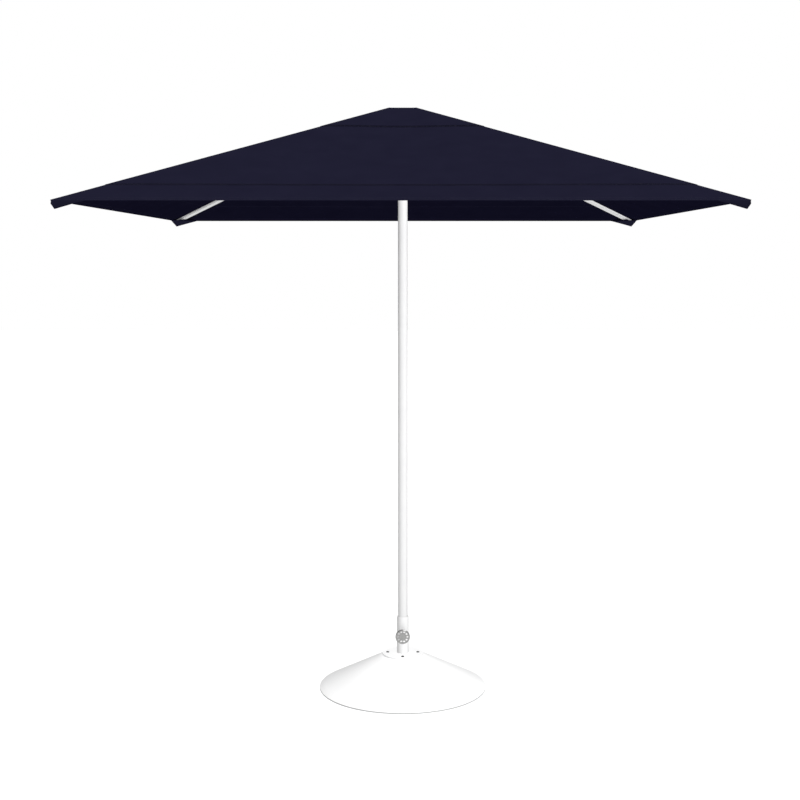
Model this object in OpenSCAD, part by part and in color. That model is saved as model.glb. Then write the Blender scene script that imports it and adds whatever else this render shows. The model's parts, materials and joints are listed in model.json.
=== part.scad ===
// Square patio umbrella with a centre mast and a weighted round base.
// Millimetres. The origin is the middle of the footprint on the ground, +Z is up.
// The canopy's sides lie along X and Y, and its four ribs run to the corners.

/* [Canopy] */
// Side of the square canopy
canopy_side = 2500; // [2300:10:2700]
// Height of the canopy's lower edge
eave_z = 2139; // [2050:1:2250]
// Height of the flat square at the top of the canopy
crown_z = 2602; // [2560:1:2650]
// Side of that flat square
crown_side = 120; // [110:1:150]
// Thickness of the cloth
cloth_t = 1.2; // [1:0.1:2]
// Length of a corner pocket along each edge
pocket_side = 120; // [100:1:150]
// Drop of a corner pocket's tip below the edge
pocket_drop = 33; // [28:1:45]
// Height of the pocket's upright corner seam
pocket_seam = 14; // [8:1:20]

/* [Ribs and struts] */
// Width of a rib
rib_w = 30; // [26:1:34]
// Height of a rib
rib_h = 12; // [10:1:14]
// Slope of an open rib below the horizontal
rib_slope = 14.93; // [13.5:0.01:15.5]
// Length of a rib from its pivot to the end of its tip
rib_len = 1757; // [1600:1:1765]
// Distance from a rib's pivot to its strut bracket
bracket_s = 620; // [560:1:660]
// Distance of the strut's pivot below the rib's middle
bracket_drop = 20; // [18:1:24]
// Width of a strut
strut_w = 20; // [18:1:24]
// Wall of the ribs and the struts
rib_wall = 1.2; // [1:0.1:2]

/* [Mast] */
// Outer diameter of the mast
mast_d = 43; // [38:1:44]
// Wall of the mast
mast_wall = 1.5; // [1.2:0.1:2]
// Diameter of the knob that locks the runner
lock_knob_d = 26; // [22:1:28]

/* [Base] */
// Diameter of the base at its rim
base_d = 746; // [600:2:800]
// Height of the cone's top
cone_z = 147; // [130:1:170]
// Diameter of the flange plate
flange_d = 184; // [170:1:200]
// Thickness of the flange plate
flange_t = 8; // [6:1:12]
// Height of the socket's mouth
socket_z = 318; // [300:1:360]
// Outer diameter of the socket
socket_d = 52; // [50:1:56]
// Circle of the flange's screws
screw_pcd = 136; // [120:1:140]

/* [Clamp] */
// Height of the clamp screw
clamp_z = 239; // [225:1:250]
// Diameter of the hand wheel
wheel_d = 65; // [60:1:70]
// Number of holes in the hand wheel
wheel_holes = 10; // [6:1:12]
// Diameter of those holes
wheel_hole_d = 10; // [8:0.5:10]
// Circle of those holes
wheel_pcd = 43; // [40:1:45]

/* [Hidden] */
$fn = 64;

// A drilled hole runs this far past the faces it opens in.
through = 1;
// Gap between pieces that move past each other, and the smaller one of a running fit.
gap = 0.3;
running = 0.08;

// Mast
mast_r = mast_d / 2;
mast_in_r = mast_r - mast_wall;
floor_pad_t = 2;
plate_t = 3;
socket_floor_z = floor_pad_t + plate_t;
plug_flange_t = 12;
plug_spigot = 35;
mast_foot_z = socket_floor_z + gap + plug_flange_t + gap;

// Pivots of the ribs and of the struts on the runner, all at the same radius. With equal
// lengths from rib pivot to bracket and from bracket to runner, the runner's pivots stay
// on that radius at every angle of the ribs.
pivot_r = 46;
hub_pivot_z = 2586;
pin_r = 3;
eye_r = 8;
eye_w = 16;
tube_start = 24;
spigot_len = 46;
link_len = sqrt(bracket_s * bracket_s + bracket_drop * bracket_drop);
link_slope = rib_slope + atan(bracket_drop / bracket_s);
runner_pivot_z = hub_pivot_z - 2 * link_len * sin(link_slope);

// Clevis ears of the hub and the runner
slot_w = eye_w + 0.8;
ear_w = 5;
ear_r = pivot_r + 10;
slot_r = pivot_r - eye_r - 2;

// Hub and crown
hub_core_r = 33;
hub_low_z = 2552;
mast_top_z = 2586;
crown_plate_t = 3.6;
crown_plate_z = crown_z - cloth_t - crown_plate_t;
hub_screw_z = 2562;
hub_screw_r = 3;
hub_screw_head_r = 5.5;
hub_screw_head_t = 3.5;
stud_r = 4;
stud_low_z = mast_top_z + 2;
stud_in_cap = 4;
cap_r = 19;
cap_edge_t = 2;
cap_h = 7.5;

// Strut brackets
bracket_gap = eye_w + 1.2;
bracket_ear_t = 3;
bracket_ear_len = 20;
bracket_plate_t = 2.5;
bracket_plate_len = 34;
tip_cap = 12;
tip_plug = 30;

// Runner and its lock
runner_r = 28;
runner_below = 14;
runner_above = 40;
runner_ear_above = 9;
liner_t = 3;
lock_z = runner_pivot_z + 25;
lock_stud_r = 4;
lock_pad_t = 2;
lock_boss_r = 8;
lock_boss_y = 34;
lock_knob_y = 39;
lock_knob_t = 12;
lock_flutes = 8;
lock_flute_r = 4;

// Base
base_r = base_d / 2;
flange_r = flange_d / 2;
socket_r = socket_d / 2;
socket_in_r = socket_r - 2.5;
shell_t = 2.5;
rim_h = 6;
ballast_z = 40;
cone_low_z = floor_pad_t + rim_h;
cone_run = (base_r - flange_r) / (cone_z - cone_low_z);
shell_up = shell_t / cos(atan(1 / cone_run));
plate_edge = 1;
screw_r = 4;
screw_len = 24;
screw_head_r = 7;
screw_head_t = 3;
anchor_r = 8;
anchor_t = 12;
floor_pad_r = 22;
floor_pad_pcd = 620;
bush_len = 46;

// Clamp
boss_r = 9;
boss_y = -38;
clamp_stud_r = 5;
clamp_hole_r = clamp_stud_r + 0.4;
clamp_pad_t = 2.5;
wheel_back_y = -46;
wheel_t = 8;
wheel_front_y = -58;
wheel_hub_r = 12;

// Canopy
half_side = canopy_side / 2;
half_crown = crown_side / 2;
panel_gap = 0.2;
pocket_in = 12;

// Radius of the cone's outer face at a height.
function cone_r(z) = base_r - cone_run * (z - cone_low_z);

// A rectangle about the origin with true round corners.
module round_rect(w, h, r) {
    square([w - 2 * r, h], center = true);
    square([w, h - 2 * r], center = true);
    for (x = [-1, 1], y = [-1, 1])
        translate([x * (w / 2 - r), y * (h / 2 - r)]) circle(r, $fn = 24);
}

// Hollow flat tube along +X from start to stop.
module flat_tube(w, h, wall, start, stop) {
    translate([start, 0, 0]) rotate([90, 0, 90]) linear_extrude(stop - start)
        difference() {
            round_rect(w, h, 3);
            round_rect(w - 2 * wall, h - 2 * wall, 3 - wall);
        }
}

// Solid end fitting along +X: an eye about the Y axis at the origin, a neck and a spigot
// that fills the tube's end.
module eye_fitting(tube_w, tube_h) {
    spigot_w = tube_w - 2 * rib_wall - 2 * running;
    spigot_h = tube_h - 2 * rib_wall - 2 * running;
    difference() {
        union() {
            rotate([90, 0, 0]) cylinder(h = eye_w, r = eye_r, center = true);
            translate([0, -eye_w / 2, -tube_h / 2]) cube([tube_start, eye_w, tube_h]);
            translate([tube_start - through, 0, 0]) rotate([90, 0, 90])
                linear_extrude(spigot_len + through) round_rect(spigot_w, spigot_h, 1.5);
        }
        rotate([90, 0, 0]) cylinder(h = eye_w + 2 * through, r = pin_r + running, center = true);
    }
}

// Pin about the Y axis at the origin, with a head at each end.
module headed_pin(grip) {
    rotate([90, 0, 0]) {
        cylinder(h = grip, r = pin_r, center = true);
        for (side = [0, 1])
            mirror([0, 0, side]) translate([0, 0, grip / 2]) cylinder(h = 3, r1 = 5.5, r2 = 4);
    }
}

// Turns its children to rib number k's plane: +X outwards, +Z up.
module at_rib(k) {
    rotate([0, 0, 45 + 90 * (k - 1)]) children();
}

// Puts its children on an open rib: the origin at its pivot, +X along it.
module on_rib(k) {
    at_rib(k) translate([pivot_r, 0, hub_pivot_z]) rotate([0, rib_slope, 0]) children();
}

// Puts its children on an open strut: the origin at its bracket pivot, +X towards the runner.
module on_strut(k) {
    on_rib(k) translate([bracket_s, 0, -bracket_drop])
        rotate([0, 180 - rib_slope - link_slope, 0]) children();
}

// Four pairs of ears about the Z axis, each pair about a slot that holds an eye.
module clevis_ears(low, high) {
    pair_w = slot_w + 2 * ear_w;
    for (k = [1:4])
        at_rib(k) translate([mast_r, -pair_w / 2, low]) cube([ear_r - mast_r, pair_w, high - low]);
}

// The slots and the pin holes of those ears.
module clevis_cuts(low, high, pivot_z) {
    for (k = [1:4]) at_rib(k) {
        translate([slot_r, -slot_w / 2, low - through])
            cube([ear_r, slot_w, high - low + 2 * through]);
        translate([pivot_r, 0, pivot_z]) rotate([90, 0, 0])
            cylinder(h = slot_w + 2 * ear_w + 2 * through, r = pin_r, center = true);
    }
}

// A flat plate with the given corners, thickened by a vector.
module slab(corners, offset) {
    n = len(corners);
    points = concat(corners, [for (p = corners) p + offset]);
    top = [for (i = [n - 1:-1:0]) i];
    bottom = [for (i = [0:n - 1]) n + i];
    sides = [for (i = [0:n - 1]) [i, (i + 1) % n, n + (i + 1) % n, n + i]];
    polyhedron(points = points, faces = concat([top, bottom], sides));
}

module base_shell() {
    color("white") difference() {
        rotate_extrude($fn = 128) {
            polygon([
                [base_r, floor_pad_t + shell_t / 2], [base_r, cone_low_z], [flange_r, cone_z],
                [socket_r + gap, cone_z], [socket_r + gap, cone_z - shell_t],
                [flange_r - (shell_up - shell_t) * cone_run, cone_z - shell_t],
                [base_r - shell_t, cone_low_z + shell_t / cone_run - shell_up],
                [base_r - shell_t, floor_pad_t + shell_t / 2]
            ]);
            translate([base_r - shell_t / 2, floor_pad_t + shell_t / 2]) circle(shell_t / 2, $fn = 32);
        }
        at_flange_screws() translate([0, 0, cone_z - shell_t - through])
            cylinder(h = shell_t + 2 * through, r = screw_r + 0.5);
    }
}

// Puts its children at each of the flange's screws.
module at_flange_screws() {
    for (a = [0:90:270]) rotate([0, 0, a]) translate([screw_pcd / 2, 0, 0]) children();
}

module base_ballast() {
    color("gray") rotate_extrude($fn = 128) polygon([
        [socket_r + gap, socket_floor_z], [base_r - 4 * shell_t, socket_floor_z],
        [cone_r(ballast_z) - 4 * shell_t, ballast_z], [socket_r + gap, ballast_z]
    ]);
}

module bottom_plate() {
    color("dimgray") translate([0, 0, floor_pad_t])
        cylinder(h = plate_t, r = base_r - shell_t - gap, $fn = 128);
}

module floor_pads() {
    color("black") for (a = [45:90:315])
        rotate([0, 0, a]) translate([floor_pad_pcd / 2, 0, 0])
            cylinder(h = floor_pad_t, r = floor_pad_r);
}

module flange_plate() {
    top = cone_z + flange_t;
    color("white") difference() {
        rotate_extrude($fn = 128) polygon([
            [socket_r, cone_z], [flange_r, cone_z], [flange_r, top - plate_edge],
            [flange_r - plate_edge, top], [socket_r, top]
        ]);
        at_flange_screws() translate([0, 0, cone_z - through])
            cylinder(h = flange_t + 2 * through, r = screw_r + 0.5);
    }
}

module socket_tube() {
    color("white") difference() {
        rotate_extrude() polygon([
            [socket_in_r, socket_floor_z], [socket_r, socket_floor_z],
            [socket_r, socket_z - plate_edge / 2], [socket_r - plate_edge / 2, socket_z],
            [socket_in_r, socket_z]
        ]);
        translate([0, 0, clamp_z]) rotate([90, 0, 0])
            cylinder(h = socket_r + through, r = clamp_hole_r);
    }
}

module flange_screws() {
    socket_depth = 2;
    top = cone_z + flange_t;
    color("#202024") at_flange_screws() difference() {
        rotate_extrude() polygon([
            [0, top - screw_len], [screw_r - 0.05, top - screw_len], [screw_r - 0.05, top],
            [screw_head_r, top], [screw_head_r, top + 1], [screw_r + 1, top + screw_head_t],
            [0, top + screw_head_t]
        ]);
        translate([0, 0, top + screw_head_t - socket_depth])
            cylinder(h = socket_depth + through, r = 2.9, $fn = 6);
    }
}

module screw_anchors() {
    color("silver") at_flange_screws() translate([0, 0, cone_z - shell_t - anchor_t]) difference() {
        cylinder(h = anchor_t, r = anchor_r, $fn = 6);
        translate([0, 0, -through]) cylinder(h = anchor_t + 2 * through, r = screw_r);
    }
}

module socket_bushes() {
    color("whitesmoke") for (low = [socket_floor_z + gap + plug_flange_t + 8, socket_z - bush_len - 1])
        translate([0, 0, low]) difference() {
            cylinder(h = bush_len, r = socket_in_r);
            translate([0, 0, -through])
                cylinder(h = bush_len + 2 * through, r = mast_r + running);
        }
}

module clamp_boss() {
    color("white") difference() {
        translate([0, 0, clamp_z]) rotate([90, 0, 0]) cylinder(h = -boss_y, r = boss_r);
        translate([0, 0, clamp_z - 2 * boss_r]) cylinder(h = 4 * boss_r, r = socket_r);
        translate([0, 0, clamp_z]) rotate([90, 0, 0])
            cylinder(h = through - boss_y, r = clamp_stud_r + running);
    }
}

module clamp_pad() {
    color("goldenrod") translate([0, -mast_r - gap, clamp_z]) rotate([90, 0, 0])
        cylinder(h = clamp_pad_t, r = clamp_stud_r);
}

module clamp_stud() {
    start = mast_r + clamp_pad_t + 2 * gap;
    stop = -wheel_front_y - 2;
    color("silver") translate([0, -start, clamp_z]) rotate([90, 0, 0])
        cylinder(h = stop - start, r = clamp_stud_r);
}

module hand_wheel() {
    r = wheel_d / 2;
    edge_r = wheel_t / 2;
    depth = wheel_back_y - wheel_front_y;
    color("silver") translate([0, wheel_back_y, clamp_z]) rotate([90, 0, 0]) difference() {
        rotate_extrude($fn = 96) {
            polygon([
                [0, 0], [wheel_hub_r, 0], [wheel_hub_r, depth - wheel_t],
                [r - edge_r, depth - wheel_t], [r - edge_r, depth], [0, depth]
            ]);
            intersection() {
                translate([r - edge_r, depth - edge_r]) circle(edge_r, $fn = 32);
                translate([r - edge_r, depth - wheel_t]) square([edge_r, wheel_t]);
            }
        }
        translate([0, 0, -through]) cylinder(h = depth - 2 + through, r = clamp_stud_r);
        for (i = [0:wheel_holes - 1])
            rotate([0, 0, 360 * i / wheel_holes]) translate([wheel_pcd / 2, 0, -through])
                cylinder(h = depth + 2 * through, r = wheel_hole_d / 2);
    }
}

module foot_plug() {
    color("black") translate([0, 0, socket_floor_z + gap]) {
        cylinder(h = plug_flange_t, r = mast_r);
        cylinder(h = plug_flange_t + plug_spigot, r = mast_in_r - running);
    }
}

module mast_tube() {
    color("white") difference() {
        translate([0, 0, mast_foot_z]) cylinder(h = mast_top_z - mast_foot_z, r = mast_r);
        translate([0, 0, mast_foot_z - through])
            cylinder(h = mast_top_z - mast_foot_z + 2 * through, r = mast_in_r);
        translate([0, 0, hub_screw_z]) rotate([0, 90, 0])
            cylinder(h = 2 * mast_d, r = hub_screw_r, center = true);
    }
}

module top_hub() {
    color("white") difference() {
        union() {
            translate([0, 0, hub_low_z]) cylinder(h = crown_plate_z - hub_low_z, r = hub_core_r);
            clevis_ears(hub_pivot_z - 14, crown_plate_z);
        }
        translate([0, 0, hub_low_z - through])
            cylinder(h = mast_top_z - hub_low_z + through, r = mast_r);
        translate([0, 0, mast_top_z - through]) cylinder(h = crown_z - mast_top_z, r = stud_r);
        translate([0, 0, hub_screw_z]) rotate([0, 90, 0])
            cylinder(h = 4 * hub_core_r, r = hub_screw_r, center = true);
        clevis_cuts(hub_low_z, crown_plate_z, hub_pivot_z);
    }
}

module hub_pins() {
    color("silver") for (k = [1:4])
        at_rib(k) translate([pivot_r, 0, hub_pivot_z]) headed_pin(slot_w + 2 * ear_w);
}

module hub_screws() {
    color("silver") translate([0, 0, hub_screw_z]) for (side = [0, 1])
        mirror([side, 0, 0]) rotate([0, 90, 0]) {
            translate([0, 0, mast_in_r]) cylinder(h = hub_core_r - mast_in_r, r = hub_screw_r);
            translate([0, 0, hub_core_r]) cylinder(h = hub_screw_head_t, r = hub_screw_head_r);
        }
}

module crown_plate() {
    color("white") translate([0, 0, crown_plate_z]) linear_extrude(crown_plate_t) difference() {
        round_rect(crown_side - 8, crown_side - 8, 6);
        circle(stud_r);
    }
}

module crown_stud() {
    color("silver") translate([0, 0, stud_low_z])
        cylinder(h = crown_z + stud_in_cap - stud_low_z, r = stud_r);
}

module finial_cap() {
    dome_h = cap_h - cap_edge_t;
    dome_r = (cap_r * cap_r + dome_h * dome_h) / (2 * dome_h);
    color("midnightblue") translate([0, 0, crown_z]) difference() {
        rotate_extrude() intersection() {
            translate([0, cap_h - dome_r]) circle(dome_r, $fn = 128);
            square([cap_r, cap_h]);
        }
        translate([0, 0, -through]) cylinder(h = stud_in_cap + through, r = stud_r);
    }
}

module canopy_crown() {
    color("midnightblue") translate([0, 0, crown_z - cloth_t]) linear_extrude(cloth_t) difference() {
        square(crown_side - 2 * gap, center = true);
        circle(stud_r);
    }
}

module runner_body() {
    low = runner_pivot_z - runner_below;
    high = runner_pivot_z + runner_above;
    ear_high = runner_pivot_z + runner_ear_above;
    color("white") difference() {
        union() {
            translate([0, 0, low]) cylinder(h = high - low, r = runner_r);
            clevis_ears(low, ear_high);
            translate([0, 0, lock_z]) rotate([90, 0, 0]) cylinder(h = lock_boss_y, r = lock_boss_r);
        }
        translate([0, 0, low - through])
            cylinder(h = high - low + 2 * through, r = mast_r + gap + liner_t);
        clevis_cuts(low, ear_high, runner_pivot_z);
        translate([0, 0, lock_z]) rotate([90, 0, 0])
            cylinder(h = lock_boss_y + through, r = lock_stud_r + running);
    }
}

module runner_liner() {
    low = runner_pivot_z - runner_below;
    length = runner_below + runner_above;
    color("dimgray") difference() {
        translate([0, 0, low]) cylinder(h = length, r = mast_r + gap + liner_t);
        translate([0, 0, low - through]) cylinder(h = length + 2 * through, r = mast_r + gap);
        translate([0, 0, lock_z]) rotate([90, 0, 0]) cylinder(h = runner_r, r = lock_stud_r + gap);
    }
}

module lock_pad() {
    color("goldenrod") translate([0, -mast_r - gap, lock_z]) rotate([90, 0, 0])
        cylinder(h = lock_pad_t, r = lock_stud_r);
}

module lock_stud() {
    start = mast_r + lock_pad_t + 2 * gap;
    stop = lock_knob_y + lock_knob_t - 2;
    color("silver") translate([0, -start, lock_z]) rotate([90, 0, 0])
        cylinder(h = stop - start, r = lock_stud_r);
}

module lock_knob() {
    r = lock_knob_d / 2;
    color("dimgray") translate([0, -lock_knob_y, lock_z]) rotate([90, 0, 0]) difference() {
        rotate_extrude() polygon([
            [0, 0], [r - plate_edge, 0], [r, plate_edge], [r, lock_knob_t - plate_edge],
            [r - plate_edge, lock_knob_t], [0, lock_knob_t]
        ]);
        translate([0, 0, -through]) cylinder(h = lock_knob_t - 2 + through, r = lock_stud_r);
        for (i = [0:lock_flutes - 1])
            rotate([0, 0, 360 * i / lock_flutes]) translate([r + 0.6 * lock_flute_r, 0, -through])
                cylinder(h = lock_knob_t + 2 * through, r = lock_flute_r);
    }
}

module runner_pins() {
    color("silver") for (k = [1:4])
        at_rib(k) translate([pivot_r, 0, runner_pivot_z]) headed_pin(slot_w + 2 * ear_w);
}

module rib(k) {
    color("white") on_rib(k) flat_tube(rib_w, rib_h, rib_wall, tube_start, rib_len - tip_cap);
}

module rib_eye(k) {
    color("silver") on_rib(k) eye_fitting(rib_w, rib_h);
}

module rib_bracket(k) {
    pair_w = bracket_gap + 2 * bracket_ear_t;
    plate_low = -rib_h / 2 - bracket_plate_t;
    color("white") on_rib(k) translate([bracket_s, 0, 0]) difference() {
        union() {
            translate([-bracket_plate_len / 2, -pair_w / 2, plate_low])
                cube([bracket_plate_len, pair_w, bracket_plate_t]);
            translate([-bracket_ear_len / 2, -pair_w / 2, -bracket_drop])
                cube([bracket_ear_len, pair_w, bracket_drop - rib_h / 2]);
            translate([0, 0, -bracket_drop]) rotate([90, 0, 0])
                cylinder(h = pair_w, r = bracket_ear_len / 2, center = true);
        }
        translate([-bracket_plate_len, -bracket_gap / 2, plate_low - 2 * bracket_drop])
            cube([2 * bracket_plate_len, bracket_gap, 2 * bracket_drop]);
        translate([0, 0, -bracket_drop]) rotate([90, 0, 0])
            cylinder(h = pair_w + 2 * through, r = pin_r, center = true);
    }
}

module bracket_pin(k) {
    color("silver") on_rib(k) translate([bracket_s, 0, -bracket_drop])
        headed_pin(bracket_gap + 2 * bracket_ear_t);
}

module rib_tip(k) {
    inner_w = rib_w - 2 * rib_wall - 2 * running;
    inner_h = rib_h - 2 * rib_wall - 2 * running;
    nose_r = rib_w / 2 + 2;
    color("dimgray") on_rib(k) translate([rib_len - tip_cap, 0, 0]) {
        intersection() {
            rotate([90, 0, 90]) linear_extrude(tip_cap) round_rect(rib_w, rib_h, 3);
            translate([tip_cap - nose_r, 0, 0]) cylinder(h = rib_h, r = nose_r, center = true);
        }
        translate([-tip_plug, 0, 0]) rotate([90, 0, 90])
            linear_extrude(tip_plug + through) round_rect(inner_w, inner_h, 1.5);
    }
}

module strut(k) {
    color("white") on_strut(k)
        flat_tube(strut_w, rib_h, rib_wall, tube_start, link_len - tube_start);
}

module strut_ends(k) {
    color("silver") on_strut(k) {
        eye_fitting(strut_w, rib_h);
        translate([link_len, 0, 0]) rotate([0, 180, 0]) eye_fitting(strut_w, rib_h);
    }
}

// A quarter of the canopy: the two half faces on either side of a rib, and the pocket at
// the corner that holds the rib's tip.
module canopy_panel(k) {
    down = [0, 0, -cloth_t];
    pocket_z = eave_z - cloth_t / 2;
    in_corner = [half_crown, half_crown, crown_z];
    out_corner = [half_side, half_side, eave_z];
    seam_top = [half_side, half_side, pocket_z];
    seam_low = [half_side, half_side, eave_z - pocket_seam];
    tip = [half_side - pocket_in, half_side - pocket_in, eave_z - pocket_drop];
    mouth_x = [half_side, half_side - pocket_side, pocket_z];
    mouth_y = [half_side - pocket_side, half_side, pocket_z];
    color("midnightblue") rotate([0, 0, 90 * (k - 1)]) {
        slab([[half_crown, panel_gap, crown_z], [half_side, panel_gap, eave_z],
              out_corner, in_corner], down);
        slab([in_corner, out_corner, [panel_gap, half_side, eave_z],
              [panel_gap, half_crown, crown_z]], down);
        for (side = [0, 1])
            rotate([0, 0, 45]) mirror([0, side, 0]) rotate([0, 0, -45]) {
                slab([seam_top, seam_low, mouth_x], [-cloth_t, 0, 0]);
                slab([seam_low, tip, mouth_x], [-cloth_t, 0, 0]);
            }
        slab([tip, mouth_y, mouth_x], down);
    }
}

base_shell();
base_ballast();
bottom_plate();
floor_pads();
flange_plate();
socket_tube();
flange_screws();
screw_anchors();
socket_bushes();
clamp_boss();
clamp_pad();
clamp_stud();
hand_wheel();
foot_plug();
mast_tube();
top_hub();
hub_pins();
hub_screws();
crown_plate();
crown_stud();
finial_cap();
canopy_crown();
runner_body();
runner_liner();
runner_pins();
lock_pad();
lock_stud();
lock_knob();
for (k = [1:4]) {
    rib(k);
    rib_eye(k);
    rib_bracket(k);
    bracket_pin(k);
    rib_tip(k);
    strut(k);
    strut_ends(k);
    canopy_panel(k);
}
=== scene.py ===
import json
import math

import bmesh
import bpy
import numpy as np
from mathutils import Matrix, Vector


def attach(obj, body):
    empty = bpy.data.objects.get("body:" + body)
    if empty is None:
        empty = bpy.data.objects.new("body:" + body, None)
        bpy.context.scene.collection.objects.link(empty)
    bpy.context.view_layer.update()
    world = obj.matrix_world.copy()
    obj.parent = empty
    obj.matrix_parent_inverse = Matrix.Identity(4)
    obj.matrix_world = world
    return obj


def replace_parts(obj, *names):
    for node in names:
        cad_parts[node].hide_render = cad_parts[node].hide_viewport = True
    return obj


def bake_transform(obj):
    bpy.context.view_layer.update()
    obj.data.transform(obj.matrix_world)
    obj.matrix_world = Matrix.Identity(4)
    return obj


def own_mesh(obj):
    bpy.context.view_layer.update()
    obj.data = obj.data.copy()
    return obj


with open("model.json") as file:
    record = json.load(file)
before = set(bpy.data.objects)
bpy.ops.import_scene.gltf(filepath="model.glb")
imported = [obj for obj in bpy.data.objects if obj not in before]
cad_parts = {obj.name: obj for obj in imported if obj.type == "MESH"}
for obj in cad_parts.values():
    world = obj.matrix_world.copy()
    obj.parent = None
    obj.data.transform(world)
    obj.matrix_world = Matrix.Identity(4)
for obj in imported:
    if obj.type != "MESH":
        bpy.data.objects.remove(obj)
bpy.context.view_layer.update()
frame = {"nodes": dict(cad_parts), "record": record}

# Main sizes, in metres, the same as the CAD model's.
HALF = 1.25  # half of the canopy's side
CROWN_HALF = 0.06  # half of the flat square's side
EAVE_Z = 2.139
CROWN_Z = 2.602
CLOTH = 0.0012  # thickness
PITCH = (CROWN_Z - EAVE_Z) / (HALF - CROWN_HALF)  # fall for each metre outwards
SLANT = math.sqrt(1 + PITCH * PITCH)  # length of cloth for each metre outwards
FACE_UP = np.array([PITCH, 0, 1]) / SLANT  # away from the cloth of the face towards +X
SEAMS = (0.3485, 1.092)  # where the two upper tiers end, from the mast
LAP = 0.0014  # height of one tier over the next
POCKET = dict(side=0.120, inset=0.012, drop=0.033, seam=0.014)
POCKET_SWELL = 0.002
WEAVE_PITCH = 0.0014
WHEEL_Z = 0.239  # height of the hand wheel's axis

# ---------------------------------------------------------------- materials


def new_material(name, color, roughness, metallic=0.0, **sockets):
    material = bpy.data.materials.new(name)
    material.use_nodes = True
    nodes, links = material.node_tree.nodes, material.node_tree.links
    shader = nodes["Principled BSDF"]
    shader.inputs["Base Color"].default_value = (*color, 1)
    shader.inputs["Roughness"].default_value = roughness
    shader.inputs["Metallic"].default_value = metallic
    for key, value in sockets.items():
        shader.inputs[key.replace("_", " ")].default_value = value
    return material, nodes, links, shader


def noise(nodes, links, scale, detail=2.0, stretch=(1, 1, 1)):
    """A noise texture on the object's own coordinates; returns its Fac socket."""
    place = nodes.new("ShaderNodeTexCoord")
    mapping = nodes.new("ShaderNodeMapping")
    mapping.inputs["Scale"].default_value = stretch
    texture = nodes.new("ShaderNodeTexNoise")
    texture.inputs["Scale"].default_value = scale
    texture.inputs["Detail"].default_value = detail
    links.new(place.outputs["Object"], mapping.inputs["Vector"])
    links.new(mapping.outputs["Vector"], texture.inputs["Vector"])
    return texture.outputs["Fac"]


def ramp(nodes, links, source, low, high, start=0.0, stop=1.0):
    """Maps source from start..stop to low..high, colours or numbers."""
    if isinstance(low, tuple):
        node = nodes.new("ShaderNodeValToRGB")
        node.color_ramp.elements[0].position = start
        node.color_ramp.elements[0].color = (*low, 1)
        node.color_ramp.elements[1].position = stop
        node.color_ramp.elements[1].color = (*high, 1)
        links.new(source, node.inputs["Fac"])
        return node.outputs["Color"]
    node = nodes.new("ShaderNodeMapRange")
    node.inputs["From Min"].default_value = start
    node.inputs["From Max"].default_value = stop
    node.inputs["To Min"].default_value = low
    node.inputs["To Max"].default_value = high
    links.new(source, node.inputs["Value"])
    return node.outputs["Result"]


def bump(nodes, links, shader, height, distance, strength=1.0):
    node = nodes.new("ShaderNodeBump")
    node.inputs["Distance"].default_value = distance
    node.inputs["Strength"].default_value = strength
    links.new(height, node.inputs["Height"])
    links.new(node.outputs["Normal"], shader.inputs["Normal"])


def speckled(name, low, high, roughness, metallic=0.0, scale=60, bump_scale=900, bump_d=2e-5,
             stretch=(1, 1, 1), **sockets):
    """Colour and roughness that vary softly, with a fine surface texture."""
    material, nodes, links, shader = new_material(name, low, roughness[0], metallic, **sockets)
    patches = noise(nodes, links, scale, 3)
    links.new(ramp(nodes, links, patches, low, high, 0.3, 0.7), shader.inputs["Base Color"])
    fine = noise(nodes, links, bump_scale, 2, stretch)
    links.new(ramp(nodes, links, fine, roughness[0], roughness[1], 0.3, 0.7),
              shader.inputs["Roughness"])
    bump(nodes, links, shader, fine, bump_d)
    return material


def enamel(name, low, high, scale, bump_scale, weight, tint):
    """White powder coat under a thin clear coat, which takes more light where it is seen at
    a low angle: weight is how much of the coat there is, and tint what passes through it."""
    material = speckled(name, low, high, (0.36, 0.46), scale=scale, bump_scale=bump_scale,
                        bump_d=1.4e-5)
    shader = next(node for node in material.node_tree.nodes if node.type == "BSDF_PRINCIPLED")
    shader.inputs["Coat Weight"].default_value = weight
    shader.inputs["Coat Roughness"].default_value = 0.4
    shader.inputs["Coat IOR"].default_value = 1.01
    shader.inputs["Coat Tint"].default_value = (tint, tint, tint, 1)
    return material


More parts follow.
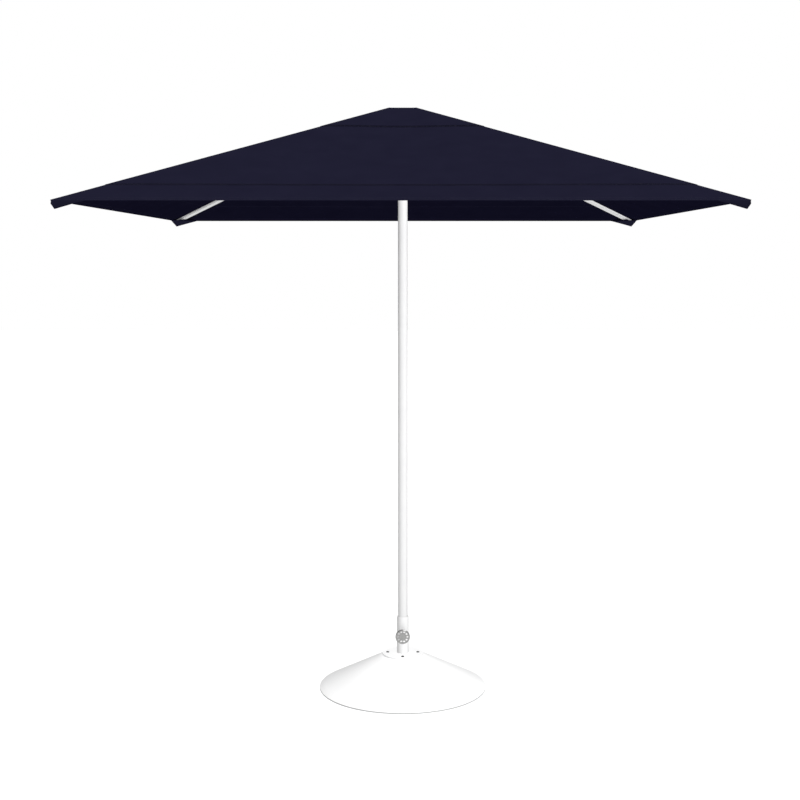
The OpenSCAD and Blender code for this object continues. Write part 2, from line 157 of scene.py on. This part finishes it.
def canvas(name, low, high):
    """Woven acrylic canvas: threads crossing along X and Y, dull even at a low angle."""
    material, nodes, links, shader = new_material(name, low, 1.0)
    shader.inputs["Specular IOR Level"].default_value = 0.0
    place = nodes.new("ShaderNodeTexCoord")
    parts = nodes.new("ShaderNodeSeparateXYZ")
    links.new(place.outputs["Object"], parts.inputs["Vector"])
    waves = []
    for axis in ("X", "Y"):
        scaled = nodes.new("ShaderNodeMath")
        scaled.operation = "MULTIPLY"
        scaled.inputs[1].default_value = 2 * math.pi / WEAVE_PITCH
        links.new(parts.outputs[axis], scaled.inputs[0])
        wave = nodes.new("ShaderNodeMath")
        wave.operation = "SINE"
        links.new(scaled.outputs[0], wave.inputs[0])
        waves.append(wave.outputs[0])
    crossed = nodes.new("ShaderNodeMath")
    crossed.operation = "MULTIPLY"
    links.new(waves[0], crossed.inputs[0])
    links.new(waves[1], crossed.inputs[1])
    weave = ramp(nodes, links, crossed.outputs[0], 0.0, 1.0, -1.0, 1.0)
    slubs = noise(nodes, links, 9, 4)
    fibres = noise(nodes, links, 420, 2)
    tone = nodes.new("ShaderNodeMix")
    tone.data_type = "FLOAT"
    tone.inputs["Factor"].default_value = 0.35
    links.new(slubs, tone.inputs["A"])
    links.new(fibres, tone.inputs["B"])
    links.new(ramp(nodes, links, tone.outputs["Result"], low, high, 0.3, 0.7),
              shader.inputs["Base Color"])
    total = nodes.new("ShaderNodeMath")
    total.operation = "ADD"
    links.new(weave, total.inputs[0])
    links.new(fibres, total.inputs[1])
    bump(nodes, links, shader, total.outputs[0], 0.00012, 0.5)
    return material


def brushed_round(name, low, high, roughness):
    """Turned metal: fine rings about the object's hand-wheel axis, along Y."""
    material, nodes, links, shader = new_material(name, low, roughness, 1.0)
    place = nodes.new("ShaderNodeTexCoord")
    mapping = nodes.new("ShaderNodeMapping")
    mapping.inputs["Location"].default_value = (0, 0, -WHEEL_Z)
    wave = nodes.new("ShaderNodeTexWave")
    wave.wave_type = "RINGS"
    wave.rings_direction = "Y"
    wave.inputs["Scale"].default_value = 260
    wave.inputs["Distortion"].default_value = 1.5
    wave.inputs["Detail"].default_value = 3
    links.new(place.outputs["Object"], mapping.inputs["Vector"])
    links.new(mapping.outputs["Vector"], wave.inputs["Vector"])
    patches = noise(nodes, links, 90, 3)
    links.new(ramp(nodes, links, patches, low, high, 0.3, 0.7), shader.inputs["Base Color"])
    links.new(ramp(nodes, links, wave.outputs["Fac"], roughness, roughness + 0.1),
              shader.inputs["Roughness"])
    bump(nodes, links, shader, wave.outputs["Fac"], 1.5e-5, 0.6)
    return material


WHITE_COAT = enamel("white_coat", (0.855, 0.855, 0.86), (0.885, 0.885, 0.885), 14, 700, 0.8, 0.86)
BASE_COAT = enamel("base_coat", (0.91, 0.91, 0.91), (0.93, 0.93, 0.93), 12, 600, 0.5, 0.9)
# A darker grey painted on the base's rim lip: painted shade along the base's bottom edge.
RIM_PAINTED_SHADE = enamel("base_rim_painted_shade", (0.40, 0.40, 0.40), (0.44, 0.44, 0.44), 30, 600, 0.6, 0.9)
STAINLESS = brushed_round("stainless", (0.33, 0.33, 0.325), (0.37, 0.37, 0.365), 0.3)
ZINC = speckled("zinc", (0.5, 0.51, 0.53), (0.62, 0.63, 0.65), (0.3, 0.42), 1.0, 120, 800, 1e-5)
CAST = speckled("cast_aluminium", (0.52, 0.53, 0.54), (0.6, 0.61, 0.62), (0.42, 0.55), 0.9,
                80, 1100, 3e-5)
BLACK_STEEL = speckled("black_steel", (0.02, 0.02, 0.022), (0.035, 0.035, 0.038), (0.35, 0.5),
                       0.4, 150, 900, 1e-5)
GREY_STEEL = speckled("grey_primer", (0.2, 0.21, 0.22), (0.26, 0.27, 0.28), (0.5, 0.65))
BRASS = speckled("brass", (0.62, 0.46, 0.2), (0.7, 0.53, 0.25), (0.3, 0.42), 1.0)
CONCRETE = speckled("concrete", (0.4, 0.39, 0.37), (0.55, 0.54, 0.51), (0.85, 0.95),
                    scale=35, bump_scale=240, bump_d=3e-4)
RUBBER = speckled("rubber", (0.025, 0.025, 0.025), (0.04, 0.04, 0.04), (0.7, 0.85))
WHITE_NYLON = speckled("white_nylon", (0.72, 0.72, 0.7), (0.8, 0.8, 0.78), (0.4, 0.5))
DARK_NYLON = speckled("dark_nylon", (0.035, 0.036, 0.04), (0.05, 0.051, 0.055), (0.42, 0.55),
                      scale=40, bump_scale=1200, bump_d=2e-5)
NAVY_PLASTIC = speckled("navy_plastic", (0.012, 0.012, 0.026), (0.016, 0.016, 0.032),
                        (0.35, 0.45))
CANVAS = canvas("navy_canvas", (0.0085, 0.0082, 0.0189), (0.0102, 0.0099, 0.0220))
# The same canvas, painted darker for the cloth's lower faces and the pocket's mouth hem: painted shade
# under the canopy.
PAINTED_UNDERSIDE_SHADE = canvas("navy_canvas_underside_shade", (0.0034, 0.0032, 0.0094), (0.0045, 0.0042, 0.0117))
# A darker navy painted along the lapped edges of the tiers: painted shadow of the tier's step.
SEAM_SHADOW_PAINT = canvas("navy_seam_shadow", (0.0048, 0.0046, 0.0106), (0.0058, 0.0056, 0.0124))
THREAD = speckled("navy_thread", (0.010, 0.010, 0.024), (0.018, 0.018, 0.038), (0.6, 0.7),
                  scale=300, bump_scale=2500, bump_d=4e-5)

SLOT_MATERIALS = {
    "coated_aluminium": WHITE_COAT,
    "coated_steel": BASE_COAT,
    "stainless_steel": STAINLESS,
    "black_steel": BLACK_STEEL,
    "zinc_steel": ZINC,
    "cast_aluminium": CAST,
    "grey_steel": GREY_STEEL,
    "brass": BRASS,
    "concrete": CONCRETE,
    "rubber": RUBBER,
    "white_nylon": WHITE_NYLON,
    "dark_nylon": DARK_NYLON,
    "navy_canvas": CANVAS,
    "navy_plastic": NAVY_PLASTIC,
}

# ---------------------------------------------------------------- helpers


def mesh_object(name, verts, faces, materials, slots=None, smooth=True, sharp=None):
    mesh = bpy.data.meshes.new(name)
    mesh.from_pydata([tuple(v) for v in verts], [], faces)
    for material in materials:
        mesh.materials.append(material)
    if slots is not None:
        mesh.polygons.foreach_set("material_index", np.array(slots, dtype=np.int32))
    mesh.polygons.foreach_set("use_smooth", [smooth] * len(mesh.polygons))
    mesh.update()
    obj = bpy.data.objects.new(name, mesh)
    bpy.context.scene.collection.objects.link(obj)
    if sharp is not None:
        mesh.set_sharp_from_angle(angle=math.radians(sharp))
    return obj


def lathe(name, profile, material, segments=160, sharp=35):
    """A closed ring of a profile of (radius, height) about Z."""
    turn = 2 * math.pi / segments
    verts = [(r * math.cos(i * turn), r * math.sin(i * turn), z)
             for i in range(segments) for r, z in profile]
    n = len(profile)
    faces = []
    for i in range(segments):
        here, there = i * n, (i + 1) % segments * n
        for j in range(n):
            k = (j + 1) % n
            faces.append((here + j, there + j, there + k, here + k))
    return mesh_object(name, verts, faces, [material], sharp=sharp)


def arc(centre, radius, start, stop, steps=6):
    """Points of an arc in a profile, angles in degrees."""
    return [(centre[0] + radius * math.cos(math.radians(start + (stop - start) * i / steps)),
             centre[1] + radius * math.sin(math.radians(start + (stop - start) * i / steps)))
            for i in range(steps + 1)]


def outward(obj):
    """Makes every face of a closed mesh look outwards."""
    work = bmesh.new()
    work.from_mesh(obj.data)
    bmesh.ops.recalc_face_normals(work, faces=work.faces)
    work.to_mesh(obj.data)
    work.free()
    return obj


def turned(points, angle):
    c, s = math.cos(angle), math.sin(angle)
    points = np.asarray(points, float)
    out = points.copy()
    out[:, 0] = c * points[:, 0] - s * points[:, 1]
    out[:, 1] = s * points[:, 0] + c * points[:, 1]
    return out


# ---------------------------------------------------------------- carried-over CAD pieces

record_slots = {part["node"]: part["material_slot"] for part in frame["record"]["subparts"]}
# The socket has the mast's coat, and the rest of the steel the base's.
NODE_MATERIALS = {"socket_tube": WHITE_COAT}
PLAIN_EDGE = 0.0004
EDGE_WIDTH = {
    "hand_wheel": 0.0007, "top_hub": 0.001, "runner_body": 0.001, "clamp_boss": 0.0006,
    "lock_knob": 0.0005, "crown_plate": 0.0006, "rib_eye": 0.0007, "rib_bracket": 0.0006,
    "strut_ends": 0.0007,
}
UNBEVELLED = ("canopy_panel", "floor_pads", "base_ballast", "socket_tube")
for name, piece in frame["nodes"].items():
    piece.data.materials.clear()
    piece.data.materials.append(NODE_MATERIALS.get(name) or SLOT_MATERIALS[record_slots[name]])
    weld = piece.modifiers.new("weld", "WELD")
    weld.merge_threshold = 1e-6
    kind = name.rstrip("_1234")
    if kind not in UNBEVELLED:
        edge = piece.modifiers.new("edge", "BEVEL")
        edge.width = EDGE_WIDTH.get(kind, PLAIN_EDGE)
        edge.segments = 2
        edge.limit_method = "ANGLE"
        edge.angle_limit = math.radians(40)
        edge.use_clamp_overlap = True
        edge.harden_normals = True
    elif name == "socket_tube":
        even = piece.modifiers.new("even shading", "WEIGHTED_NORMAL")
        even.weight = 100
        even.keep_sharp = True

# ---------------------------------------------------------------- base

BASE_R = 0.373
FLANGE_R = 0.092
HOLE_R = 0.0263
CONE_Z = 0.147
RIM_Z = 0.008
RIM_FOOT_Z = 0.002
SHELL = 0.0025
SLOPE_PARTS = 12
slope_r = BASE_R - FLANGE_R
slope_h = CONE_Z - RIM_Z
run = slope_r / slope_h
rise = SHELL / math.cos(math.atan(1 / run))
rolled_foot = arc((BASE_R - SHELL / 2, RIM_FOOT_Z + SHELL / 2), SHELL / 2, 180, 360, 8)
rim_edge = [(BASE_R, RIM_Z - 0.0012), (BASE_R - 0.0003, RIM_Z - 0.0003),
            (BASE_R - 0.0014, RIM_Z + 0.0007)]
slope = [(BASE_R - slope_r * i / SLOPE_PARTS, RIM_Z + slope_h * i / SLOPE_PARTS)
         for i in range(1, SLOPE_PARTS)]
flat_top = [(FLANGE_R + 0.0008, CONE_Z - 0.0004), (FLANGE_R - 0.0006, CONE_Z), (HOLE_R, CONE_Z)]
inside = [(HOLE_R, CONE_Z - SHELL), (FLANGE_R - (rise - SHELL) * run, CONE_Z - SHELL),
          (BASE_R - SHELL, RIM_Z + SHELL / run - rise), (BASE_R - SHELL, RIM_FOOT_Z + 0.0013)]
shell_profile = rolled_foot + rim_edge + slope + flat_top + inside
shell = outward(lathe("base_cone", shell_profile, BASE_COAT, 256))
# The lip below RIM_Z takes the darker grey, painted as the shade along the base's bottom edge.
shell.data.materials.append(RIM_PAINTED_SHADE)
for face in shell.data.polygons:
    if face.center.z < RIM_Z - 0.0004:
        face.material_index = 1
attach(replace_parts(shell, "base_shell"), "base")

# ---------------------------------------------------------------- canopy

SAG = 0.006
RIPPLE = 0.0005
TAUT_FOLD = 0.0009
HIP_RIDGE = 0.0007
HIP_WIDTH = 0.010


def canopy_top(x, y, tier):
    """Height of the cloth's upper face on the side where x is the larger of |x| and |y|: a
    plane that sags between the hips, with slight folds and a ridge along each hip."""
    x = np.asarray(x, float)
    y = np.asarray(y, float)
    v = np.clip(np.abs(y) / x, 0, 1)
    along = np.clip((x - CROWN_HALF) / (HALF - CROWN_HALF), 0, 1)
    bulge = np.sin(math.pi * along)
    sag = SAG * np.cos(v * math.pi / 2) ** 2 * bulge
    ripple = RIPPLE * np.sin(along * 23 + v * 3) * np.sin(v * math.pi) ** 2 * bulge
    taut = TAUT_FOLD * np.sin(v * 31) * v * (1 - v) * 4 * along ** 2 * (1 - along) * 4
    near_hip = np.clip(1 - (x - np.abs(y)) / HIP_WIDTH, 0, 1)
    ridge = HIP_RIDGE * near_hip ** 2 * (3 - 2 * near_hip)
    plane = CROWN_Z - PITCH * (x - CROWN_HALF) + LAP * (1 - tier)
    return plane - sag + ripple + taut + ridge


def columns(x, steps):
    """Lateral positions across a half face, from its middle line to the hip, with four close
    ones along the hip's ridge."""
    ridge = np.array([0.009, 0.006, 0.003, 0.0])
    even = np.linspace(0, 1, steps + 1)
    curved = 1 - np.cos(even * math.pi / 2)
    return np.concatenate([(x - 0.012) * (even + curved) / 2, x - ridge])


def band_rows(start, stop, step):
    """Distances from the mast, evenly from start to stop and about step apart."""
    count = max(1, round((stop - start) / step))
    return np.linspace(start, stop, count + 1)


def cloth_strip(rows, tier, steps, upper, lower):
    """A closed thin sheet over rows of x: its upper face and its lower one, as arrays."""
    top, low = [], []
    for x in rows:
        y = columns(x, steps)
        z = canopy_top(np.full_like(y, x), y, tier)
        top.append(np.stack([np.full_like(y, x), y, z + upper], 1))
        low.append(np.stack([np.full_like(y, x), y, z + lower], 1))
    return np.array(top), np.array(low)


def solid_faces(nr, nc):
    """Faces of a closed sheet with nr by nc points above and as many below, in pairs: one
    above, then the one below it. Those of the rim come last."""
    faces = []
    lower = nr * nc
    for i in range(nr - 1):
        for j in range(nc - 1):
            a, b, c, d = i * nc + j, i * nc + j + 1, (i + 1) * nc + j + 1, (i + 1) * nc + j
            faces.append((a, d, c, b))
            faces.append((lower + a, lower + b, lower + c, lower + d))
    for j in range(nc - 1):
        faces.append((j, j + 1, lower + j + 1, lower + j))
        a = (nr - 1) * nc + j
        faces.append((a, lower + a, lower + a + 1, a + 1))
    for i in range(nr - 1):
        a, d = i * nc, (i + 1) * nc
        faces.append((a, lower + a, lower + d, d))
        a, d = i * nc + nc - 1, (i + 1) * nc + nc - 1
        faces.append((a, d, lower + d, lower + a))
    return faces


def stitches(path, length=0.0045, pitch=0.0075, radius=0.00045, lift=0.0002):
    """Short threads along a path of (points, normals): vertices and faces."""
    points, normals = (np.asarray(values, float) for values in path)
    gaps = np.linalg.norm(np.diff(points, axis=0), axis=1)
    reach = np.concatenate([[0], np.cumsum(gaps)])
    verts, faces = [], []
    s = pitch / 2
    while s + length < reach[-1]:
        ends = []
        for t in (s, s + length * 0.5, s + length):
            ends.append([np.interp(t, reach, points[:, i]) for i in range(3)])
        ends = np.array(ends)
        up = np.array([np.interp(s, reach, normals[:, i]) for i in range(3)])
        up /= np.linalg.norm(up)
        along = ends[2] - ends[0]
        along /= np.linalg.norm(along)
        side = np.cross(along, up)
        first = len(verts)
        for centre, r, h in zip(ends, (0.35, 1, 0.35), (-0.6, 1, -0.6)):
            for a in (45, 135, 225, 315):
                a = math.radians(a)
                out = side * math.cos(a) + up * math.sin(a)
                verts.append(centre + up * (lift * h) + radius * r * out)
        for ring in (first, first + 4):
            for j in range(4):
                k = (j + 1) % 4
                faces.append((ring + j, ring + k, ring + 4 + k, ring + 4 + j))
        faces.append((first + 3, first + 2, first + 1, first))
        faces.append((first + 8, first + 9, first + 10, first + 11))
        s += pitch
    return verts, faces


def on_cloth(x, y, tier):
    """A path over the cloth: its points, and the direction away from the cloth at each."""
    x = np.broadcast_to(x, y.shape)
    return np.stack([x, y, canopy_top(x, y, tier)], 1), np.tile(FACE_UP, (len(y), 1))


def seam_path(x, tier, stop):
    """A line of stitching across a half face at x, up to stop of the way to the hip."""
    return on_cloth(x, np.linspace(0, stop * x, 60), tier)


def hip_path(start, stop, tier):
    """A line of stitching beside the hip's ridge, from start to stop."""
    x = np.linspace(start, stop, 40)
    return on_cloth(x, x - 0.0065, tier)


def joined(parts):
    """Several (vertices, faces, material index or a list of them) as one."""
    verts, faces, slots = [], [], []
    for v, f, m in parts:
        base = len(verts)
        verts.extend(tuple(p) for p in v)
        faces.extend(tuple(i + base for i in face) for face in f)
        slots.extend(m if isinstance(m, list) else [m] * len(f))
    return verts, faces, slots


OUTER, UNDER_SHADE, SEWN, SEAM_SHADOW = 0, 1, 2, 3
CLOTH_MATERIALS = [CANVAS, PAINTED_UNDERSIDE_SHADE, THREAD, SEAM_SHADOW_PAINT]


def cloth(top, low):
    """A closed sheet between two grids of points, its lower face in a darker navy painted as the shade
    under the canopy.
    """
    nr, nc = top.shape[:2]
    faces = solid_faces(nr, nc)
    paired = 2 * (nr - 1) * (nc - 1)
    slots = [UNDER_SHADE if i < paired and i % 2 else OUTER for i in range(len(faces))]
    return np.concatenate([top.reshape(-1, 3), low.reshape(-1, 3)]), faces, slots


# The closed canopy hugs the mast, and each half face draws in towards its rib by an amount that
# depends on the distance from the crown. Here each half face is made band by band, each band its own
# piece on its rib.
TOP_BAND = 0.085
BANDS = {
    0: [TOP_BAND, 0.108, 0.137, 0.174, 0.221, 0.281, SEAMS[0]],
    1: [SEAMS[0], 0.430, 0.535, 0.665, 0.830, SEAMS[1]],
    2: [SEAMS[1], HALF],
}
OVERLAP = 0.008
HEM = 0.024
# A darker band painted along the edge of the two upper tiers as the shadow of the step where each tier
# laps over the next: where it starts and ends, up from the edge.
SEAM_SHADOW_BAND = {0: (0.022, 0.001), 1: (0.014, 0.002)}
SEAM_INSETS = {0: (0.0035, 0.0105), 1: (0.0035, 0.0105), 2: (0.003, HEM - 0.003)}
ROW_STEP = 0.022
STEPS = 30


def band_parts(tier, start, stop, first, last):
    """The cloth, hems and stitching of one band of a half face, on the side towards +X with
    y from 0 to the hip."""
    rows = band_rows(start, stop, ROW_STEP)
    if first and tier > 0:
        rows = np.concatenate([[start - OVERLAP], rows])
    shadow_banded = last and tier in SEAM_SHADOW_BAND
    if shadow_banded:
        far, near = SEAM_SHADOW_BAND[tier]
        rows = np.concatenate([rows[rows < stop - far - 0.002], [stop - far, stop - near, stop]])
    top, low = cloth_strip(rows, tier, STEPS, 0, -CLOTH)
    verts, faces, slots = cloth(top, low)
    # The band's rows take the darker navy, painted as the shadow along the lapped edge.
    if shadow_banded:
        across = top.shape[1] - 1
        shadow_first = 2 * across * (len(rows) - 3)
        slots[shadow_first:shadow_first + 2 * across:2] = [SEAM_SHADOW] * across
    parts = [(verts, faces, slots)]
    if last:
        edge = band_rows(stop - HEM, stop, 0.008)
        parts.append(cloth(*cloth_strip(edge, tier, STEPS, -CLOTH - 0.0001, -2 * CLOTH)))
        for inset in SEAM_INSETS[tier]:
            parts.append((*stitches(seam_path(stop - inset, tier, 0.995)), SEWN))
    parts.append((*stitches(hip_path(start, stop, tier)), SEWN))
    return parts


def place(points, quarter, mirrored):
    """From the half face towards +X, y above 0, to a quarter's first or second half."""
    points = np.asarray(points, float)
    if mirrored:
        points = points[:, [1, 0, 2]]
    return turned(points, math.radians(90 * (quarter - 1)))


def half_piece(name, parts, quarter, mirrored):
    """One piece of cloth of a half face, from parts made on the side towards +X."""
    verts, faces, slots = joined(parts)
    if mirrored:
        faces = [face[::-1] for face in faces]
    piece = mesh_object(name, place(verts, quarter, mirrored), faces, CLOTH_MATERIALS, slots, sharp=50)
    return piece


HIP = np.array([1, 1, -PITCH]) / math.sqrt(2 + PITCH * PITCH)
TO_HIP = np.cross(FACE_UP, HIP)
HIP_TOP = [CROWN_HALF, CROWN_HALF, CROWN_Z]
CROWN_EDGE = 0.0605


def grid_between(edge_a, edge_b, steps):
    """Points between two edges with as many points each, and their offset by the cloth."""
    a, b = np.asarray(edge_a, float), np.asarray(edge_b, float)
    top = np.array([a + (b - a) * t for t in np.linspace(0, 1, steps)])
    across = np.gradient(top, axis=0)
    along = np.gradient(top, axis=1)
    normal = np.cross(along, across)
    normal /= np.maximum(np.linalg.norm(normal, axis=2, keepdims=True), 1e-12)
    return top, top - normal * CLOTH


def line(a, b, count):
    """Evenly spaced points from a to b."""
    return np.linspace(a, b, count)


def roll(path, radius, sides=8):
    """A rolled hem: a closed tube along a path."""
    path = np.asarray(path, float)
    verts, faces = [], []
    for i, p in enumerate(path):
        ahead = path[min(i + 1, len(path) - 1)] - path[max(i - 1, 0)]
        ahead /= np.linalg.norm(ahead)
        side = np.cross(ahead, (0.1, 0.2, 1.0))
        side /= np.linalg.norm(side)
        up = np.cross(side, ahead)
        for j in range(sides):
            a = 2 * math.pi * j / sides
            verts.append(p + radius * (side * math.cos(a) + up * math.sin(a)))
    for i in range(len(path) - 1):
        for j in range(sides):
            k = (j + 1) % sides
            faces.append((i * sides + j, i * sides + k, (i + 1) * sides + k, (i + 1) * sides + j))
    faces.append(tuple(range(sides))[::-1])
    faces.append(tuple(range((len(path) - 1) * sides, len(path) * sides)))
    return verts, faces


def pocket_parts():
    """Half of a corner pocket, for the half face towards +X: the patch under the canopy's
    corner, the side wall and half of the underside."""
    out = HALF - CLOTH
    top_z = EAVE_Z - 2.2 * CLOTH
    corner = np.array([out, out, top_z])
    mouth = np.array([out, HALF - POCKET["side"], top_z])
    middle = (mouth + np.array([HALF - POCKET["side"], out, top_z])) / 2
    seam = np.array([out, out, EAVE_Z - POCKET["seam"]])
    tip = np.array([HALF - POCKET["inset"], HALF - POCKET["inset"], EAVE_Z - POCKET["drop"]])
    below = np.array([0, 0, -0.0015])
    long_way, short_way, deep = 24, 5, 9
    lower = np.concatenate([line(seam, tip, short_way),
                            line(tip, mouth + below, long_way - short_way + 1)[1:]])
    walls = grid_between(line(corner, mouth, long_way), lower, deep)
    swell = np.outer(np.sin(np.linspace(0, math.pi, deep)), np.sin(np.linspace(0, math.pi, long_way)))
    for face in walls:
        face[:, :, 0] += POCKET_SWELL * swell
    belly = grid_between(line(tip, mouth + below, 12),
                         line(tip + [-1e-5, -1e-5, 0], middle + below, 12), 8)
    patch = grid_between(line(corner, mouth, 8),
                         line(corner + [-1e-4, 0, 0], middle + [0, 0, 0.0005], 8), 6)
    return [cloth(*patch), cloth(*walls), cloth(*belly),
            (*roll(line(seam, tip, 5), 0.0011), OUTER),
            (*roll(line(tip, mouth, 16), 0.0010), OUTER),
            (*roll(line(mouth, middle, 12), 0.0013), UNDER_SHADE)]


for quarter in range(1, 5):
    for mirrored in (False, True):
        half = f"canopy_{quarter}{'b' if mirrored else 'a'}"
        rib = f"rib_{quarter}"
        axis = place([TO_HIP], quarter, mirrored)[0]
        anchor = place([HIP_TOP], quarter, mirrored)[0]
        for tier, marks in BANDS.items():
            for i, (start, stop) in enumerate(zip(marks, marks[1:])):
                parts = band_parts(tier, start, stop, i == 0, stop == marks[-1])
                piece = half_piece(f"{half}_{tier + 1}{i + 1}", parts, quarter, mirrored)
                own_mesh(piece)
                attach(piece, rib)
        rows = band_rows(CROWN_EDGE, TOP_BAND, 0.004)
        parts = [cloth(*cloth_strip(rows, 0, STEPS, 0, -CLOTH)),
                 (*stitches(seam_path(CROWN_EDGE + 0.004, 0, 0.99)), SEWN),
                 (*stitches(hip_path(CROWN_EDGE, TOP_BAND, 0)), SEWN)]
        neck = half_piece(f"{half}_neck", parts, quarter, mirrored)
        near, far = place([[CROWN_EDGE, 0, 0], [TOP_BAND, 0, 0]], quarter, mirrored)
        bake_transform(neck)
        pocket = half_piece(f"pocket_{quarter}{'b' if mirrored else 'a'}", pocket_parts(), quarter,
                            mirrored)
        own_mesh(pocket)
        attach(pocket, rib)
    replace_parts(pocket, f"canopy_panel_{quarter}")

# The flat square at the top.
half_ticks = np.array([0.2, 0.4, 0.6, 0.8, 0.9, 0.96, 1]) * CROWN_EDGE
ticks = np.concatenate([-half_ticks[::-1], [0], half_ticks])
xs, ys = np.meshgrid(ticks, ticks, indexing="ij")
crown_top = float(canopy_top(CROWN_EDGE, 0.0, 0))
reach = np.maximum(abs(xs), abs(ys)) / CROWN_EDGE
heights = crown_top + 0.0006 * (1 - reach ** 6)
parts = [cloth(np.stack([xs, ys, heights], 2), np.stack([xs, ys, heights - CLOTH], 2))]
sewn = CROWN_EDGE - 0.005
row = line([sewn, -sewn, crown_top + 0.0003], [sewn, sewn, crown_top + 0.0003], 30)
upward = np.tile([0.0, 0.0, 1.0], (len(row), 1))
for k in range(4):
    parts.append((*stitches((turned(row, k * math.pi / 2), upward)), SEWN))
verts, faces, slots = joined(parts)
crown = mesh_object("crown_cloth", verts, faces, CLOTH_MATERIALS, slots, sharp=50)
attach(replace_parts(crown, "canopy_crown"), "mast")

# ---------------------------------------------------------------- stage

FLOOR_HALF = 30
FLOOR_Z = -0.0004
FLOOR_PAINT = speckled("floor", (0.86, 0.86, 0.86), (0.88, 0.88, 0.88), (0.7, 0.8),
                       scale=0.5, bump_scale=40, bump_d=1e-5)
floor_corners = [(FLOOR_HALF * x, FLOOR_HALF * y, FLOOR_Z)
                 for x, y in ((-1, -1), (1, -1), (1, 1), (-1, 1))]
floor = mesh_object("floor", floor_corners, [(0, 1, 2, 3)], [FLOOR_PAINT], smooth=False)

# Two soft shadowless lights: a key from the front right, and one from straight above.
for name, energy, heading in (("key", 3.5, (-0.315, 0.485, -0.816)), ("top", 0.8, (0, 0, -1))):
    light_data = bpy.data.lights.new(name, "SUN")
    light_data.energy = energy
    light_data.angle = math.radians(18)
    light_data.use_shadow = False
    light = bpy.data.objects.new(name, light_data)
    light.rotation_euler = Vector(heading).to_track_quat("-Z", "Y").to_euler()
    bpy.context.scene.collection.objects.link(light)

# Even white surroundings, dimmer as light than they look.
world = bpy.data.worlds.new("studio")
world.use_nodes = True
nodes, links = world.node_tree.nodes, world.node_tree.links
ambient = nodes["Background"]
ambient.inputs["Color"].default_value = (1, 1, 1, 1)
ambient.inputs["Strength"].default_value = 0.27
backdrop = nodes.new("ShaderNodeBackground")
backdrop.inputs["Color"].default_value = (1, 1, 1, 1)
backdrop.inputs["Strength"].default_value = 1.0
rays = nodes.new("ShaderNodeLightPath")
either = nodes.new("ShaderNodeMixShader")
links.new(rays.outputs["Is Camera Ray"], either.inputs[0])
links.new(ambient.outputs["Background"], either.inputs[1])
links.new(backdrop.outputs["Background"], either.inputs[2])
links.new(either.outputs["Shader"], nodes["World Output"].inputs["Surface"])
bpy.context.scene.world = world
bpy.context.scene.view_settings.view_transform = "Standard"

camera_data = bpy.data.cameras.new("camera")
camera_data.sensor_width = 36
camera_data.lens = 59.56
camera_data.shift_x = -0.0126
camera_data.shift_y = -0.175
camera = bpy.data.objects.new("camera", camera_data)
camera.location = (0.033, -5.969, 1.923)
camera.rotation_euler = (math.pi / 2, 0, 0)
bpy.context.scene.collection.objects.link(camera)
bpy.context.scene.camera = camera
